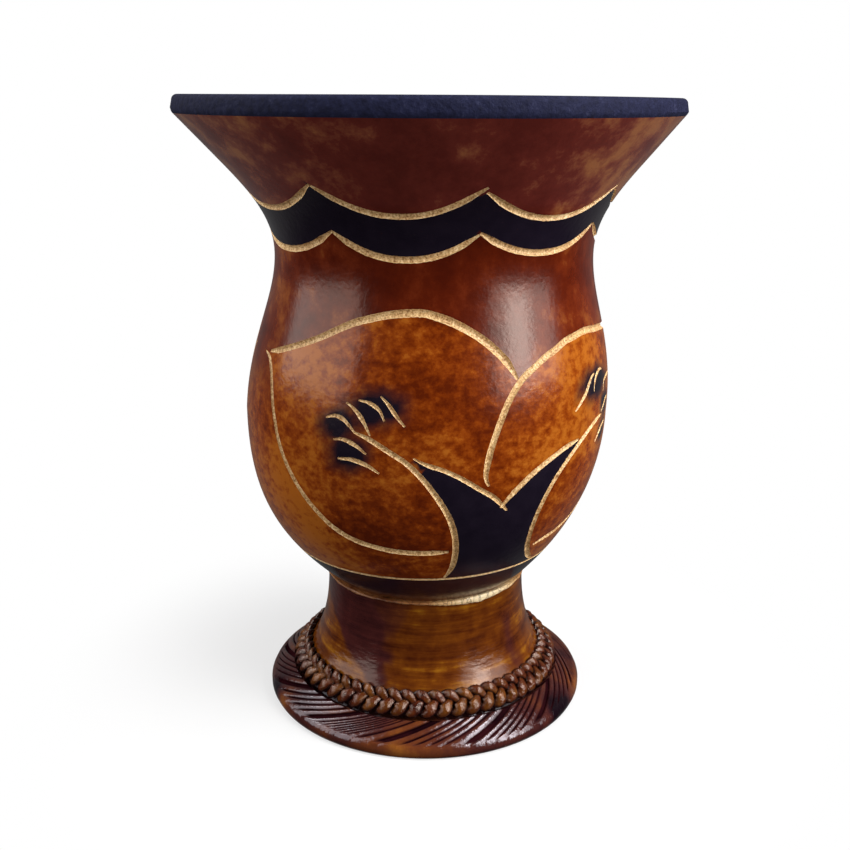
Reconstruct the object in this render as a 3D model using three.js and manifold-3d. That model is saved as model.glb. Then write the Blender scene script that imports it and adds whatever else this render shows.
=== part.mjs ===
// Mate gourd on a turned foot with a plaited ring.
// Millimetres, +Z up. The origin lies on the table, under the middle of the foot.

import * as THREE from 'three';
import { mergeVertices } from 'three/addons/utils/BufferGeometryUtils.js';
import Module from 'manifold-3d';

const wasm = await Module();
wasm.setup();

// Gourd bowl: a dried calabash with a belled mouth.
// Its heights are measured up from the seat ring, where it meets the foot.
const SEAT_HEIGHT = 31.9; // seat ring above the table
const SEAT_RADIUS = 23.8; // the stem's top has the same radius
const SEAT_LEAN = 47; // degrees that the wall leans out from upright at the seat
const BOTTOM_DROP = 8; // how far the rounded bottom hangs below the seat ring
const BELLY_RADIUS = 42;
const BELLY_HEIGHT = 40.7;
const WAIST_RADIUS = 35.9;
const WAIST_HEIGHT = 76;
const MOUTH_RADIUS = 55; // widest ring, the lower corner of the lip
const BOWL_HEIGHT = 109.7; // seat ring to rim
const LIP_HEIGHT = 3.9; // the sanded cut edge
const LIP_SET_BACK = 0.5; // how far that edge leans in at its top
const FLARE_LEAN = 41.5; // degrees from upright
const FLARE_LENGTH = 13.5; // straight part of the flare, along its slope
const WALL = 5; // shell thickness at the sides and the lip
const FLOOR = 8; // shell thickness at the bottom
const NECK_SWAY = 1.5; // sideways bend of the neck as it grew

// How far each curve of the bowl's outline runs on before it turns, at each end.
const SEAT_REACH = 12.5;
const BELLY_REACH_DOWN = 21.2;
const BELLY_REACH_UP = 15.9;
const WAIST_REACH_DOWN = 10.3;
const WAIST_REACH_UP = 7.6;
const FLARE_REACH = 8.7;

// Carving: each line is one pull of a gouge through a few points on the wall.
// A point is an angle from the front, in degrees to the right, and a depth below the rim.
const GOUGE_WIDTH = 1.5;
const GOUGE_DEPTH = 0.6;
const DRAWN_HEIGHT = 109.7; // bowl that the lines were drawn for, seat ring to rim
const DRAWN_WAIST = 76; // its waist; the lines stretch with the rim, the waist and the belly
const DRAWN_BELLY = 40.7; // its belly
const SCALLOP_CUSPS = [-86, -33, 13.5, 61.8, 114.8, 167.8, 220.9, 274]; // round the whole bowl
// Depths of cusp and trough along the band's upper and lower edge, for one scallop after another.
const SCALLOPS = [
  [[16.6, 22.3], [26, 30.9]],
  [[16.4, 22.2], [25.8, 30.9]],
  [[17.4, 23.1], [25.5, 30.2]],
  [[18.2, 23.2], [25.6, 30.4]],
];
const SCALLOP_FULLNESS = 2.2; // 1 is a straight V, more is a rounder sag
const FLOWER_COUNT = 2;
const FLOWER_LINES = {
  leftPetalTop: [[-60, 52.8], [-40, 48.4], [-20, 42.7], [-4, 41.2], [10, 44.4], [20, 49.4], [25.5, 54.6]],
  leftPetalUnder: [[-63.5, 53.2], [-57.5, 55.7], [-50, 67.5], [-40, 80.2], [-25, 89.2], [-8, 92], [8.7, 92]],
  rightPetalTop: [[18.2, 76.3], [17, 73], [20.2, 63], [28, 54.2], [45, 48.7], [60, 47.9], [99, 52.4]],
  rightPetalUnder: [[43, 94.9], [63, 91.8], [77, 85.8], [88, 75.5], [96, 58.8], [101.5, 53.2]],
  leftStalk: [[-21, 65], [-5, 71.1], [5, 80], [10, 88], [11, 96], [8.5, 100.2]],
  rightStalk: [[67.5, 67.6], [50, 72], [40, 80], [37.7, 88], [43, 97.3], [49, 100.2]],
  leftSepal: [[-3.5, 69.7], [10, 74.2], [20, 79], [25.3, 82.7]],
  rightSepal: [[23, 81.8], [28, 77.6], [40, 72.2], [51, 70.3]],
};

// Plaited ring: three strands in one plait, laid on a slope round the stem.
const BRAID_RADIUS = 30.3; // middle of the plait
const BRAID_HEIGHT = 9.1; // its middle above the table
const BRAID_SLOPE = 49.7; // degrees from level
const BRAID_REPEAT = 10.1; // length in which a strand goes across and back
const BRAID_SWING = 2.3; // strand centre line, each way across the plait
const BRAID_LIFT = 1.15; // strand centre line, each way through the plait
const STRAND_HALF_WIDTH = 1.2;
const STRAND_HALF_DEPTH = 0.8;
const STRAND_PINCH = 0.5; // share of its section that a strand loses as it dives
const STRAND_COUNT = 3;

// Foot: the stem is a flared collar, the base a flange with swirling flutes.
const STEM_REACH_TOP = 10;
const STEM_REACH_RIM = 5;
const STEM_RIM_LEAN = 33; // degrees from upright at the stem's lower rim
const STEM_RIM_LIFT = 1.75; // rim of the stem above its underside, across the plait
const SPIGOT_RADIUS = 12;
const SPIGOT_LENGTH = 5;
const BASE_RADIUS = 38.7;
const EDGE_HEIGHT = 2.9; // plain rounded edge
const EDGE_ROUND = 0.4; // how far that edge curls in, top and bottom
const CREST_RISE = 0.5; // lip of the plait's groove above the plait's middle
const SKIRT_FULLNESS = 1.1; // bulge of the fluted skirt above a straight slope
const FLUTE_DEPTH = 0.55;
const FLUTE_BUNDLES = 12; // each one broad rib and three narrow ones
const FLUTE_TWIST = 22; // degrees that a flute turns, clockwise going outwards

// Filler: the bed of putty that glues the bowl into the stem.
const FILLER = 1; // its thickness
const FIT = 0.3; // clearance between pieces that touch

// Facets
const ROUND_SEGMENTS = 36;
const BOTTOM_STEPS = 4; // along the bowl's rounded bottom and what beds it
const GOUGE_STEP = 10; // along a carved line, as drawn in degrees and depths
const STRAND_STEPS = 6; // per repeat of the plait
const STRAND_SIDES = 6;

const radians = THREE.MathUtils.degToRad;
const point = (r, z) => new THREE.Vector2(r, z);

// A point that lies a distance away from another, leaning out from upright.
function along(start, leanDegrees, distance) {
  const lean = radians(leanDegrees);
  return point(start.x + distance * Math.sin(lean), start.y + distance * Math.cos(lean));
}

// Sampled points of a cubic curve, without its last point.
function curve(start, leave, arrive, end, steps) {
  return new THREE.CubicBezierCurve(start, leave, arrive, end).getPoints(steps).slice(0, -1);
}

// Moves an outline sideways: to its right when the distance is positive.
function offset(outline, distanceAt) {
  return outline.map((p, i) => {
    const before = outline[Math.max(i - 1, 0)];
    const after = outline[Math.min(i + 1, outline.length - 1)];
    const way = after.clone().sub(before).normalize();
    if (p.x === 0) way.set(1, 0);
    const distance = distanceAt(p);
    return point(p.x + way.y * distance, p.y - way.x * distance);
  });
}

// Turns an outline round the upright axis. The outline starts and ends on the axis.
function revolve(outline, segments) {
  const geometry = new THREE.LatheGeometry(outline, segments);
  geometry.rotateX(Math.PI / 2);
  return geometry;
}

// Merges the seam and the poles, and drops the triangles that have no area.
function closed(geometry) {
  geometry.deleteAttribute('normal');
  geometry.deleteAttribute('uv');
  const merged = mergeVertices(geometry, 1e-3);
  const index = merged.index.array;
  const kept = [];
  for (let i = 0; i < index.length; i += 3) {
    const [a, b, c] = [index[i], index[i + 1], index[i + 2]];
    if (a !== b && b !== c && c !== a) kept.push(a, b, c);
  }
  merged.setIndex(kept);
  merged.computeVertexNormals();
  return merged;
}

function piece(name, geometry, color, roughness) {
  const material = new THREE.MeshStandardMaterial({ color, roughness, metalness: 0 });
  const mesh = new THREE.Mesh(geometry, material);
  mesh.name = name;
  return mesh;
}

// Outline of the bowl's rounded bottom, from the axis out to the seat ring.
const seat = point(SEAT_RADIUS, SEAT_HEIGHT);
function bowlBottom() {
  const lowest = SEAT_HEIGHT - BOTTOM_DROP;
  const turn = point(SEAT_RADIUS - BOTTOM_DROP * Math.tan(radians(SEAT_LEAN)), lowest);
  return new THREE.QuadraticBezierCurve(point(0, lowest), turn, seat).getPoints(BOTTOM_STEPS);
}

// A closed geometry as a solid that can be cut, and a solid as a geometry again.
function solidOf(geometry) {
  const { attributes, index } = closed(geometry);
  const vertProperties = attributes.position.array;
  const triVerts = Uint32Array.from(index.array);
  return new wasm.Manifold(new wasm.Mesh({ numProp: 3, vertProperties, triVerts }));
}
function geometryOf(solid) {
  const { vertProperties, triVerts } = solid.getMesh();
  const geometry = new THREE.BufferGeometry();
  geometry.setAttribute('position', new THREE.BufferAttribute(vertProperties, 3));
  geometry.setIndex(new THREE.BufferAttribute(triVerts, 1));
  geometry.computeVertexNormals();
  return geometry;
}

// Outline of the bowl's outer wall, from the bottom to the lip.
const rimHeight = SEAT_HEIGHT + BOWL_HEIGHT;
const belly = point(BELLY_RADIUS, SEAT_HEIGHT + BELLY_HEIGHT);
function bowlOutside() {
  const waist = point(WAIST_RADIUS, SEAT_HEIGHT + WAIST_HEIGHT);
  const lip = point(MOUTH_RADIUS, rimHeight - LIP_HEIGHT);
  const flare = along(lip, FLARE_LEAN, -FLARE_LENGTH);
  return [
    ...bowlBottom().slice(0, -1),
    ...curve(seat, along(seat, SEAT_LEAN, SEAT_REACH), along(belly, 0, -BELLY_REACH_DOWN), belly, 6),
    ...curve(belly, along(belly, 0, BELLY_REACH_UP), along(waist, 0, -WAIST_REACH_DOWN), waist, 5),
    ...curve(waist, along(waist, 0, WAIST_REACH_UP), along(flare, FLARE_LEAN, -FLARE_REACH), flare, 5),
    flare,
    lip,
  ];
}
const outside = bowlOutside();

// How far the neck bends aside at a height.
function swayAt(z) {
  const rise = THREE.MathUtils.clamp((z - belly.y) / (rimHeight - belly.y), 0, 1);
  return NECK_SWAY * Math.sin(Math.PI * rise);
}

// Height of a drawn point above the seat ring: it keeps its place beside the belly, the waist and the rim.
function stretched(drawn) {
  const { mapLinear } = THREE.MathUtils;
  if (drawn < DRAWN_BELLY) return mapLinear(drawn, 0, DRAWN_BELLY, 0, BELLY_HEIGHT);
  if (drawn < DRAWN_WAIST) return mapLinear(drawn, DRAWN_BELLY, DRAWN_WAIST, BELLY_HEIGHT, WAIST_HEIGHT);
  return mapLinear(drawn, DRAWN_WAIST, DRAWN_HEIGHT, WAIST_HEIGHT, BOWL_HEIGHT);
}

// Point on the outer wall at an angle and a depth, and the way that the wall faces there.
function onWall(drawn) {
  const z = SEAT_HEIGHT + stretched(DRAWN_HEIGHT - drawn.y);
  const next = outside.findIndex((p) => p.y > z);
  const [below, above] = [outside[next - 1], outside[next]];
  const r = THREE.MathUtils.mapLinear(z, below.y, above.y, below.x, above.x);
  const up = above.clone().sub(below).normalize();
  const turn = radians(drawn.x);
  const place = new THREE.Vector3(r * Math.sin(turn) + swayAt(z), -r * Math.cos(turn), z);
  const facing = new THREE.Vector3(up.y * Math.sin(turn), -up.y * Math.cos(turn), -up.x);
  return { place, facing };
}

// The space that one pull of the gouge sweeps: a three-sided bar along a smooth line.
// One edge of it is sunk in the wall by the depth, and the others stand as far out.
const NUDGE = 0.01; // share of a line to each side of a point, for the line's direction there
function gouge(points) {
  const line = new THREE.SplineCurve(points.map(([angle, depth]) => point(angle, depth)));
  const steps = Math.ceil(line.getLength() / GOUGE_STEP);
  const geometry = new THREE.CylinderGeometry(1, 1, steps, 3, steps);
  const position = geometry.attributes.position;
  const corner = new THREE.Vector3();
  for (let i = 0; i < position.count; i += 1) {
    corner.fromBufferAttribute(position, i);
    const share = corner.y / steps + 0.5;
    const { place, facing } = onWall(line.getPointAt(share));
    const behind = onWall(line.getPointAt(Math.max(share - NUDGE, 0))).place;
    const ahead = onWall(line.getPointAt(Math.min(share + NUDGE, 1))).place;
    const side = facing.clone().cross(ahead.sub(behind)).normalize();
    place.addScaledVector(side, (GOUGE_WIDTH * corner.x) / Math.sin(Math.PI / 3));
    place.addScaledVector(facing, (GOUGE_DEPTH * (1 - 4 * corner.z)) / 3);
    position.setXYZ(i, place.x, place.y, place.z);
  }
  return geometry;
}

// Lines of the carving: the scalloped band round the neck, and the flowers round the belly.
function carvedLines() {
  const lines = [];
  for (let scallop = 0; scallop < SCALLOP_CUSPS.length - 1; scallop += 1) {
    const [start, end] = [SCALLOP_CUSPS[scallop], SCALLOP_CUSPS[scallop + 1]];
    for (const [cusp, trough] of SCALLOPS[scallop % SCALLOPS.length]) {
      const sagAt = (share) => trough - (trough - cusp) * Math.abs(2 * share - 1) ** SCALLOP_FULLNESS;
      const shares = [0, 0.15, 0.3, 0.5, 0.7, 0.85, 1];
      lines.push(shares.map((share) => [THREE.MathUtils.lerp(start, end, share), sagAt(share)]));
    }
  }
  for (let flower = 0; flower < FLOWER_COUNT; flower += 1) {
    const turn = (360 * flower) / FLOWER_COUNT;
    for (const line of Object.values(FLOWER_LINES)) {
      lines.push(line.map(([angle, depth]) => [angle + turn, depth]));
    }
  }
  return lines;
}

// Gourd bowl: outer wall from the bottom to the lip, then the inner wall back down, then carved.
function gourdBowl() {
  const lowest = SEAT_HEIGHT - BOTTOM_DROP;
  const inner = offset(outside, (p) => {
    const down = THREE.MathUtils.clamp((belly.y - p.y) / (belly.y - lowest), 0, 1);
    return -(WALL + (FLOOR - WALL) * down * down);
  });
  const crestOut = point(MOUTH_RADIUS - LIP_SET_BACK, rimHeight);
  const crestIn = point(inner[inner.length - 1].x, rimHeight);
  const inside = inner.filter((p) => p.y < rimHeight - LIP_HEIGHT / 2).reverse();
  const geometry = revolve([...outside, crestOut, crestIn, ...inside], ROUND_SEGMENTS);
  const position = geometry.attributes.position;
  for (let i = 0; i < position.count; i += 1) {
    position.setX(i, position.getX(i) + swayAt(position.getZ(i)));
  }
  let shell = solidOf(geometry);
  for (const line of carvedLines()) shell = shell.subtract(solidOf(gouge(line)));
  return piece('gourd_bowl', geometryOf(shell), 0x7c3c14, 0.3);
}

// Joint filler: a dished bed that follows the bowl's bottom and ends in a squeezed-out bead.
function jointFiller() {
  const bottom = bowlBottom();
  const upper = offset(bottom, () => FIT);
  const lower = offset(bottom, () => FIT + FILLER);
  const [top, low] = [upper[upper.length - 1], lower[lower.length - 1]];
  const bead = along(point((top.x + low.x) / 2, (top.y + low.y) / 2), SEAT_LEAN, FILLER / 2);
  const outline = [...lower, bead, ...upper.reverse()];
  return piece('joint_filler', closed(revolve(outline, ROUND_SEGMENTS)), 0xd2b583, 0.7);
}

// Frame of the plait: across is measured down its slope, out is measured away from its bed.
const slope = radians(BRAID_SLOPE);
function onBraid(across, out) {
  const r = BRAID_RADIUS + across * Math.cos(slope) + out * Math.sin(slope);
  const z = BRAID_HEIGHT - across * Math.sin(slope) + out * Math.cos(slope);
  return point(r, z);
}
const braidHalfWidth = BRAID_SWING + STRAND_HALF_WIDTH;
const braidHalfDepth = BRAID_LIFT + STRAND_HALF_DEPTH * (1 - STRAND_PINCH / 2);
const grooveFloor = -(braidHalfDepth + FIT);

// One strand of the plait: a ring whose centre line weaves across and through the plait.
function braidStrand(number) {
  const repeats = Math.round((2 * Math.PI * BRAID_RADIUS) / BRAID_REPEAT);
  const steps = repeats * STRAND_STEPS;
  const geometry = new THREE.TorusGeometry(BRAID_RADIUS, STRAND_HALF_WIDTH, STRAND_SIDES, steps);
  const position = geometry.attributes.position;
  for (let side = 0; side <= STRAND_SIDES; side += 1) {
    for (let step = 0; step <= steps; step += 1) {
      const turn = (2 * Math.PI * step) / steps;
      const halfStep = Math.PI / STRAND_STEPS; // so that facets meet where strands cross
      const phase = repeats * turn + (2 * Math.PI * number) / STRAND_COUNT + halfStep;
      const around = (2 * Math.PI * side) / STRAND_SIDES;
      const section = 1 - STRAND_PINCH * Math.cos(phase) ** 2;
      const heading = Math.atan2(repeats * BRAID_SWING * Math.cos(phase), BRAID_RADIUS);
      const sideways = STRAND_HALF_WIDTH * section * Math.cos(around);
      const across = BRAID_SWING * Math.sin(phase) + sideways * Math.cos(heading);
      const out = STRAND_HALF_DEPTH * section * Math.sin(around) - BRAID_LIFT * Math.sin(2 * phase);
      const place = onBraid(across, out);
      const forward = turn - (sideways * Math.sin(heading)) / BRAID_RADIUS;
      const vertex = side * (steps + 1) + step;
      position.setXYZ(vertex, place.x * Math.cos(forward), place.x * Math.sin(forward), place.y);
    }
  }
  return piece(`braid_strand_${number + 1}`, closed(geometry), 0x6f4518, 0.3);
}

// Foot stem: dished on top for the filler, flared below, with a spigot for the base.
const stemFoot = onBraid(-(braidHalfWidth + FIT), grooveFloor);
function footStem() {
  const dish = offset(bowlBottom(), () => FILLER + 2 * FIT);
  const inDish = dish.filter((p) => p.x < SEAT_RADIUS - FIT);
  const next = dish[inDish.length];
  const last = inDish[inDish.length - 1];
  const share = (SEAT_RADIUS - last.x) / (next.x - last.x);
  const top = last.clone().lerp(next, share);
  const rim = onBraid(-(braidHalfWidth + FIT), grooveFloor + STEM_RIM_LIFT);
  const outline = [
    point(0, stemFoot.y - SPIGOT_LENGTH),
    point(SPIGOT_RADIUS, stemFoot.y - SPIGOT_LENGTH),
    point(SPIGOT_RADIUS, stemFoot.y),
    stemFoot,
    ...curve(rim, along(rim, -STEM_RIM_LEAN, STEM_REACH_RIM), along(top, 0, -STEM_REACH_TOP), top, 7),
    top,
    ...inDish.reverse(),
  ];
  return piece('foot_stem', closed(revolve(outline, ROUND_SEGMENTS)), 0x6b3a12, 0.3);
}

// Relief of the flutes across one bundle: a broad rib, then three narrow ones.
const BUNDLE = [0.5, 1, 1, 0.5, 0, 0.6, 0, 0.6, 0, 0.6];

// Foot base: flat below, with a fluted skirt, a groove for the plait and a socket for the stem.
function footBase() {
  const edgeTop = point(BASE_RADIUS - EDGE_ROUND, EDGE_HEIGHT);
  const crest = onBraid(braidHalfWidth + FIT, CREST_RISE);
  const middle = edgeTop.clone().lerp(crest, 0.5);
  const fall = crest.clone().sub(edgeTop).normalize();
  const bulge = point(middle.x + fall.y * SKIRT_FULLNESS * 2, middle.y - fall.x * SKIRT_FULLNESS * 2);
  const skirt = new THREE.QuadraticBezierCurve(edgeTop, bulge, crest).getPoints(5);
  const plateau = stemFoot.y - FIT;
  const inward = (BRAID_HEIGHT + grooveFloor * Math.cos(slope) - plateau) / Math.sin(slope);
  const socket = SPIGOT_RADIUS + FIT;
  const socketFloor = plateau - SPIGOT_LENGTH - FIT;
  const outline = [
    point(0, 0),
    point(BASE_RADIUS - EDGE_ROUND, 0),
    point(BASE_RADIUS, EDGE_HEIGHT / 2),
    ...skirt,
    onBraid(braidHalfWidth + FIT, grooveFloor),
    onBraid(inward, grooveFloor),
    point(socket, plateau),
    point(socket, socketFloor),
    point(0, socketFloor),
  ];
  const firstSkirt = 3;
  const columns = FLUTE_BUNDLES * BUNDLE.length;
  const geometry = revolve(outline, columns);
  const position = geometry.attributes.position;
  for (let column = 0; column <= columns; column += 1) {
    for (let row = 0; row < outline.length; row += 1) {
      const rise = THREE.MathUtils.clamp((row - firstSkirt) / (skirt.length - 1), 0, 1);
      const onSkirt = Math.sin(Math.PI * rise);
      const sink = FLUTE_DEPTH * (1 - BUNDLE[column % BUNDLE.length]) * onSkirt;
      const r = outline[row].x - sink * fall.y;
      const z = outline[row].y + sink * fall.x;
      const angle = (2 * Math.PI * column) / columns + radians(FLUTE_TWIST) * rise;
      position.setXYZ(column * outline.length + row, r * Math.cos(angle), r * Math.sin(angle), z);
    }
  }
  return piece('foot_base', closed(geometry), 0x5b2e14, 0.32);
}

const group = new THREE.Group();
group.add(footBase(), footStem());
for (let number = 0; number < STRAND_COUNT; number += 1) group.add(braidStrand(number));
group.add(jointFiller(), gourdBowl());

export default group;
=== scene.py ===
import math
import random

import bmesh
import bpy
import numpy as np
from mathutils import Matrix, Vector, geometry, noise
from mathutils.kdtree import KDTree


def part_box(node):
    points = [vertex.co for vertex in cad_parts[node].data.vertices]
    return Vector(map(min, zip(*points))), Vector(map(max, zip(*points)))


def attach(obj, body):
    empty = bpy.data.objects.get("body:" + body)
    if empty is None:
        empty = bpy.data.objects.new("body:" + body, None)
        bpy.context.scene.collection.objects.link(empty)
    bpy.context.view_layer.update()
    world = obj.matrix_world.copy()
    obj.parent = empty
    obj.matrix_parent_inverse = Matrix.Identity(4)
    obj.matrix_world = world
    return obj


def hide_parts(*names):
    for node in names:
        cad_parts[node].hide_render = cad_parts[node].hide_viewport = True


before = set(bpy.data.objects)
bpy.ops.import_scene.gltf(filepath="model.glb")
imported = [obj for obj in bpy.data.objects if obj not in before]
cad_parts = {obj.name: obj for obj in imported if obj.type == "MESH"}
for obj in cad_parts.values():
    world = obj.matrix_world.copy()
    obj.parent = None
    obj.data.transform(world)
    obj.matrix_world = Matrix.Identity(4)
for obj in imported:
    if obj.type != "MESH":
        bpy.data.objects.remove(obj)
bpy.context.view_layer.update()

# Foot base: a turned round of wood, flat below, with a socket for the stem's spigot and a
# groove for the plait. Its skirt is carved by hand with swirling flutes: bundles of fine
# ones between broad smooth ribs. It is stained amber on the ribs and lacquered.
mm = 0.001
fit = 0.3 * mm
base_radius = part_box("foot_base")[1].x
edge_height = 2.9 * mm
edge_round = 0.5 * mm
edge_upright = (0.35, 0.65)
underside_inset = 1.2 * mm
underside_round = Vector((-0.4 * mm, 0, 0.2 * mm))
crest_rise = 0.5 * mm
skirt_fullness = 0.15 * mm
plait_radius = 30.3 * mm
plait_height = 9.1 * mm
plait_slope = math.radians(49.7)
plait_inner_side = 2.75 * mm
plait_outer_side = 3.8 * mm
groove_depth = 2.05 * mm
socket_radius = 12.3 * mm
socket_depth = 5.3 * mm
flute_depth = 0.6 * mm
flute_twist = math.radians(21.6)
flute_columns = 1080
skirt_rows = 15
flutes_from = edge_height * 0.6
near = 0.01 * mm
seam = 0.002 * mm
# Width of each rib in turn, in degrees. The list covers a third of the way round.
flute_widths = [
    6.2, 5.3, 5.0, 5.2, 7.4, 3.7, 2.4, 2.2, 2.3, 1.7, 2.3, 2.1,
    4.8, 9.6, 6.2, 4.7, 4.8, 5.2, 10.7, 5.0, 4.6, 4.5, 4.9, 9.2,
]
flute_start = -76.3
broad_rib = 7.0
rib_share = 0.72
rib_fullness = 0.4
narrow_rib_height = 0.25
full_height_rib = 9
# The flutes fade out before the edge, but run over it a little at the right of the front.
edge_fade = 1.2 * mm
over_edge_share = 0.3
over_edge_at = (25, 14)
# Where the stain lies dark low on the skirt, and where it was rubbed to amber: the middle and
# half the width, in degrees from the front. The amber at 75 degrees is a sheen painted into the
# colour.
dark_stains = [(56, 11), (-73, 6), (130, 12), (-150, 14)]
amber_stains_and_sheen = [(-10, 14), (49, 4), (-63, 5), (75, 11), (112, 14), (-122, 12), (172, 10)]
dark_share = 0.7
dark_fall = 1.3
amber_all_over = 0.16
amber_rubbed = 0.34
# How much the amber fades towards the plait: partly stain, partly painted shade under the plait.
amber_fall_and_shade = 0.17
amber_broad_rib = 0.08
# The base's upright edge is painted lighter, standing in for light that falls on it.
edge_painted_light = 0.09
# The groove under the plait is coloured part way to the flutes' dark hollows.
groove_tone = 0.45


def on_plait(across, out):
    """Point of the outline on the plait's slope: across runs down it, out stands away from it."""
    r = plait_radius + across * math.cos(plait_slope) + out * math.sin(plait_slope)
    z = plait_height - across * math.sin(plait_slope) + out * math.cos(plait_slope)
    return Vector((r, 0, z))


def spin_outline(outline, steps):
    """Turns an outline round the upright axis into one closed skin."""
    form = bmesh.new()
    corners = [form.verts.new(point) for point in outline]
    edges = [form.edges.new(pair) for pair in zip(corners, corners[1:])]
    bmesh.ops.spin(form, geom=corners + edges, cent=(0, 0, 0), axis=(0, 0, 1), dvec=(0, 0, 0),
                   angle=2 * math.pi, steps=steps, use_merge=True)
    bmesh.ops.remove_doubles(form, verts=form.verts, dist=seam)
    bmesh.ops.recalc_face_normals(form, faces=form.faces)
    return form


def make_piece(name, form, crease_degrees=35):
    """Turns a form into an object with smooth faces and creases where it bends sharply."""
    mesh = bpy.data.meshes.new(name)
    form.to_mesh(mesh)
    form.free()
    mesh.shade_smooth()
    mesh.set_sharp_from_angle(angle=math.radians(crease_degrees))
    piece = bpy.data.objects.new(name, mesh)
    bpy.context.scene.collection.objects.link(piece)
    return piece


def store(piece, name, values):
    """Keeps one number for each vertex, which the finish reads by its name."""
    layer = piece.data.attributes.new(name, "FLOAT", "POINT")
    layer.data.foreach_set("value", np.asarray(values, np.float32))


def front_angle(point):
    """Degrees round the axis from the front, positive to the right."""
    return math.degrees(math.atan2(point.x, -point.y))


def bell(angle, middle, half):
    """1 at the middle, and next to nothing at twice half the width away from it."""
    return math.exp(-(((angle - middle) / half) ** 2))


def limit(value):
    """A value kept between 0 and 1."""
    return min(max(value, 0), 1)


def flute_at(angle):
    """The carving at an angle round the edge: its height, how near it is to the crown of its
    rib, and whether that rib is broad."""
    place = (angle - flute_start) % sum(flute_widths)
    for width in flute_widths:
        if place < width:
            break
        place -= width
    share = place / width
    if width > broad_rib:
        share = min(share / rib_share, 1.0)
    crown = max(math.sin(math.pi * share), 0.0)
    height = min(1.0, narrow_rib_height + width / full_height_rib)
    return height * crown ** rib_fullness, crown, width > broad_rib


edge_top = Vector((base_radius - edge_round, 0, edge_height))
crest = on_plait(plait_outer_side, crest_rise)
fall = (crest - edge_top).normalized()
skirt_out = Vector((fall.z, 0, -fall.x))
bulge = (edge_top + crest) / 2 + skirt_out * skirt_fullness * 4 / 3
skirt = geometry.interpolate_bezier(edge_top, bulge, bulge, crest, skirt_rows)
groove_out = on_plait(plait_outer_side, -groove_depth)
groove_in = on_plait(-plait_inner_side, -groove_depth)
plateau = groove_in.z - fit
base_outline = [
    Vector((0, 0, 0)),
    Vector((base_radius - underside_inset, 0, 0)),
    Vector((base_radius, 0, 0)) + underside_round,
    *[Vector((base_radius, 0, edge_height * share)) for share in edge_upright],
    *skirt,
    groove_out,
    Vector((groove_in.x, 0, plateau)),
    Vector((socket_radius, 0, plateau)),
    Vector((socket_radius, 0, plateau - socket_depth)),
    Vector((0, 0, plateau - socket_depth)),
]
base_form = spin_outline(base_outline, flute_columns)
steps_up = [(after - before).length for before, after in zip(skirt, skirt[1:])]
skirt_reach = np.concatenate([[0], np.cumsum(steps_up)])
skirt_heights = [point.z for point in skirt]
carving = []
amber = []
for vertex in base_form.verts:
    radius = math.hypot(vertex.co.x, vertex.co.y)
    height = vertex.co.z
    on_skirt = radius > crest.x - near and height > flutes_from
    reach = float(np.interp(height, skirt_heights, skirt_reach)) if on_skirt else 0.0
    angle = front_angle(vertex.co)
    over_edge = over_edge_share * bell(angle, *over_edge_at)
    fade = min(1.0, over_edge + reach / edge_fade) if on_skirt else 0.0
    lift, crown, broad = flute_at(angle)
    in_groove = crest.x > radius > groove_in.x - near and height > edge_height
    carving.append(groove_tone if in_groove and not on_skirt else 1 - (1 - crown) * fade)
    place = Vector((radius, 0, height)) - skirt_out * flute_depth * (1 - lift) * fade
    turn = math.atan2(vertex.co.y, vertex.co.x) + flute_twist * reach / skirt_reach[-1]
    vertex.co = (place.x * math.cos(turn), place.x * math.sin(turn), place.z)
    angle = front_angle(vertex.co)
    rise = reach / skirt_reach[-1]
    dark = max(bell(angle, *stain) for stain in dark_stains)
    # The amber stains, with the painted sheen at the right among them.
    light = max(bell(angle, *stain) for stain in amber_stains_and_sheen)
    # On the upright edge the amber is raised as painted light, and up the skirt it fades, partly as
    # painted shade under the plait.
    on_edge = height < edge_height and radius > groove_in.x
    light *= amber_rubbed - amber_fall_and_shade * rise
    dark *= dark_share * max(1 - dark_fall * rise, 0)
    on_rib = amber_broad_rib * broad * fade
    amber.append(amber_all_over + light + on_rib + edge_painted_light * on_edge - dark)
foot_base = make_piece("foot_base_carved", base_form, 50)
store(foot_base, "carving", carving)
store(foot_base, "amber", amber)


def srgb(red, green, blue):
    """A colour as read off a colour chart, made linear for the shader."""
    channels = [c / 255 for c in (red, green, blue)]
    return [c / 12.92 if c <= 0.04045 else ((c + 0.055) / 1.055) ** 2.4 for c in channels] + [1.0]


def new_finish(name, roughness, specular, tint=(1, 1, 1, 1)):
    """A material with its gloss set. Colour and bumps are linked to it afterwards."""
    finish = bpy.data.materials.new(name)
    finish.use_nodes = True
    shader = finish.node_tree.nodes["Principled BSDF"]
    shader.inputs["Roughness"].default_value = roughness
    shader.inputs["Specular IOR Level"].default_value = specular
    shader.inputs["Specular Tint"].default_value = tint
    return finish


def add(finish, kind, inputs, **settings):
    """Adds a node. An input is a number, a colour or another node's output."""
    node = finish.node_tree.nodes.new("ShaderNode" + kind)
    for name, value in settings.items():
        setattr(node, name, value)
    for key, value in inputs.items():
        if isinstance(value, bpy.types.NodeSocket):
            finish.node_tree.links.new(value, node.inputs[key])
        else:
            node.inputs[key].default_value = value
    return node


def mottle(finish, scale, stretch=(1, 1, 1), detail=4.0, roughness=0.55):
    """Cloudy pattern, as many clouds to the metre as its scale, squeezed along each axis."""
    place = add(finish, "TexCoord", {}).outputs["Object"]
    place = add(finish, "Mapping", {"Vector": place, "Scale": stretch}).outputs["Vector"]
    clouds = add(finish, "TexNoise", {"Vector": place, "Scale": scale, "Detail": detail,
                                      "Roughness": roughness})
    return clouds.outputs["Fac"]


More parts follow.
